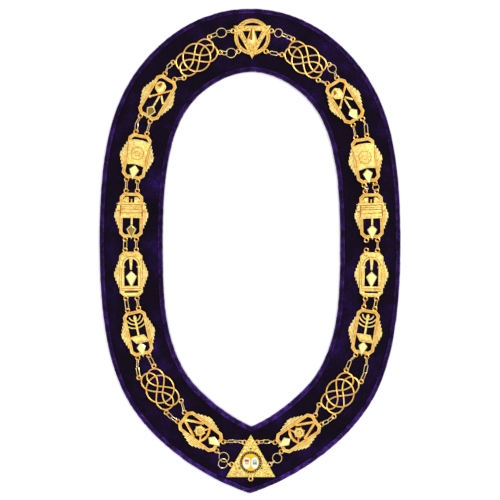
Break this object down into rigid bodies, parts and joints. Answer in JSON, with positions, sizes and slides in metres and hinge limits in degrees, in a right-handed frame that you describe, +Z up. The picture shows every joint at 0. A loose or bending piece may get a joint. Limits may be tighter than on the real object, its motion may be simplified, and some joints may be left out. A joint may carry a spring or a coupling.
{
  "type": "chain of office",
  "caption": "Flat padded velvet collar in a long pointed oval with bound edges, carrying pierced cast gold plaques joined by short chains and a three-cornered front plate with an enamel disc.",
  "frame": {"origin": "middle of the collar's outline, on the surface it lies on", "axes": "+Z up from the surface, +Y towards the back of the neck (the top of the picture), +X towards the picture's right"},
  "size_m": [0.3626, 0.5832, 0.0098],
  "materials": {
    "velvet": "near-black purple velvet pile over padding",
    "binding_velvet": "purple velvet edge strip, flattened and stitched",
    "cast_gold": "gold-plated casting, polished on the raised facets and matte between",
    "chain_gold": "bright gold-plated wire",
    "enamel": "glossy fired enamel in gold, white, red and green fields"
  },
  "bodies": {
    "root": {"back_medallion": "cast_gold", "enamel_disc": "enamel", "front_plate": "cast_gold", "left_arch_plaque": "cast_gold", "left_candlestick_plaque": "cast_gold", "left_chest_plaque": "cast_gold", "left_inner_chain_1": "chain_gold", "left_inner_chain_2": "chain_gold", "left_inner_chain_3": "chain_gold", "left_inner_chain_4": "chain_gold", "left_inner_chain_5": "chain_gold", "left_inner_chain_6": "chain_gold", "left_inner_chain_7": "chain_gold", "left_inner_chain_8": "chain_gold", "left_inner_chain_9": "chain_gold", "left_keystone_plaque": "cast_gold", "left_lower_knot": "cast_gold", "left_outer_chain_1": "chain_gold", "left_outer_chain_2": "chain_gold", "left_outer_chain_3": "chain_gold", "left_outer_chain_4": "chain_gold", "left_outer_chain_5": "chain_gold", "left_outer_chain_6": "chain_gold", "left_outer_chain_7": "chain_gold", "left_outer_chain_8": "chain_gold", "left_outer_chain_9": "chain_gold", "left_tools_plaque": "cast_gold", "left_triangle_plaque": "cast_gold", "left_upper_knot": "cast_gold", "opening_binding": "binding_velvet", "outer_binding": "binding_velvet", "right_arch_plaque": "cast_gold", "right_candlestick_plaque": "cast_gold", "right_chest_plaque": "cast_gold", "right_inner_chain_1": "chain_gold", "right_inner_chain_2": "chain_gold", "right_inner_chain_3": "chain_gold", "right_inner_chain_4": "chain_gold", "right_inner_chain_6": "chain_gold", "right_inner_chain_7": "chain_gold", "right_inner_chain_8": "chain_gold", "right_inner_chain_9": "chain_gold", "right_keystone_plaque": "cast_gold", "right_lower_knot": "cast_gold", "right_outer_chain_1": "chain_gold", "right_outer_chain_2": "chain_gold", "right_outer_chain_3": "chain_gold", "right_outer_chain_4": "chain_gold", "right_outer_chain_5": "chain_gold", "right_outer_chain_6": "chain_gold", "right_outer_chain_7": "chain_gold", "right_outer_chain_8": "chain_gold", "right_outer_chain_9": "chain_gold", "right_tools_plaque": "cast_gold", "right_triangle_plaque": "cast_gold", "right_upper_knot": "cast_gold", "velvet_pad": "velvet"}
  },
  "joints": []
}
